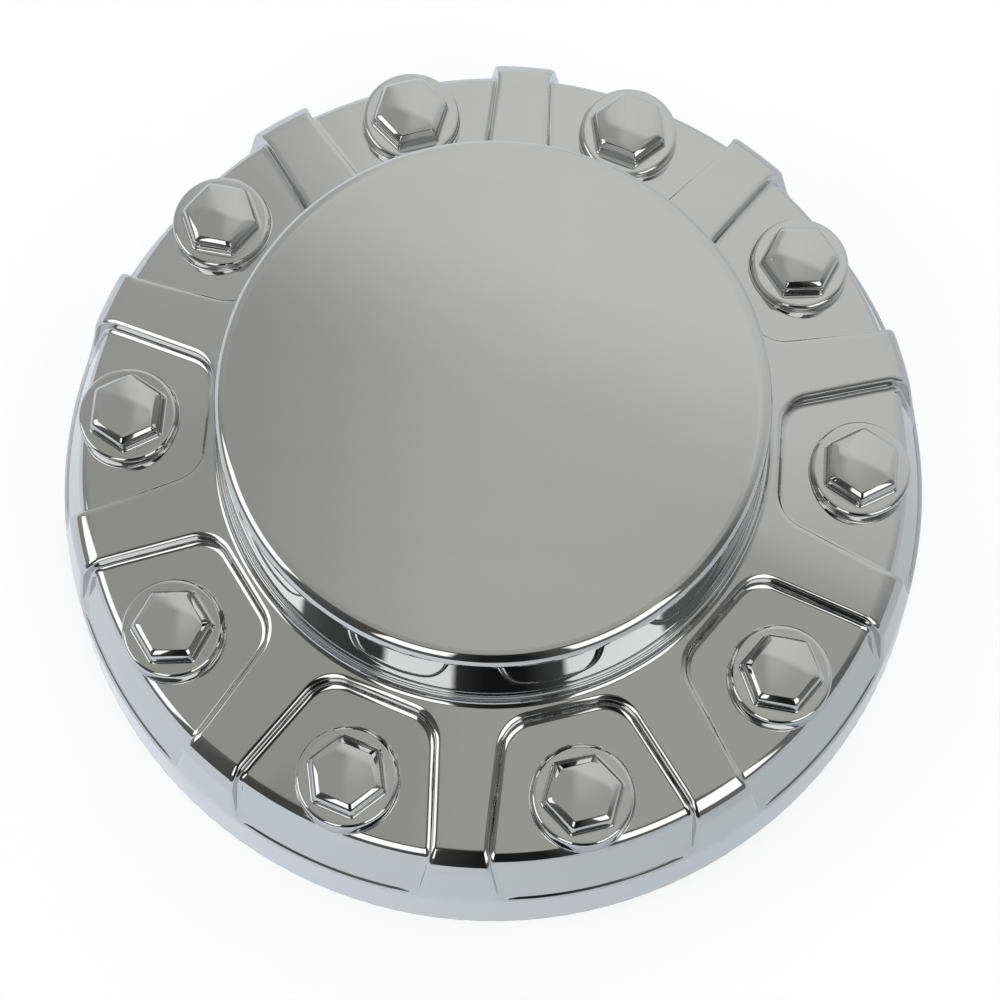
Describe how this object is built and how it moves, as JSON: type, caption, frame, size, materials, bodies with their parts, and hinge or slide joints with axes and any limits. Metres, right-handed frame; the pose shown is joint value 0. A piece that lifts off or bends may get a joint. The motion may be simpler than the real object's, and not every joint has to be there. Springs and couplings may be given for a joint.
{
  "type": "wheel center cap",
  "caption": "Deep round chrome wheel center cap: flat-topped dome, sloping deck with ribs and recessed panels, ring of moulded lug nuts and a drafted skirt; covers a truck hub.",
  "frame": {"origin": "centre of the rim plane, where the open edge of the cap stands", "axes": "+Z along the cap's axis, from the rim to the top of the dome; +X through the middle of one moulded nut"},
  "size_m": [0.2764, 0.2764, 0.1027],
  "materials": {
    "chrome_plating": "bright chrome plate on moulded plastic"
  },
  "bodies": {
    "root": {"center_cap": "chrome_plating"}
  },
  "joints": []
}
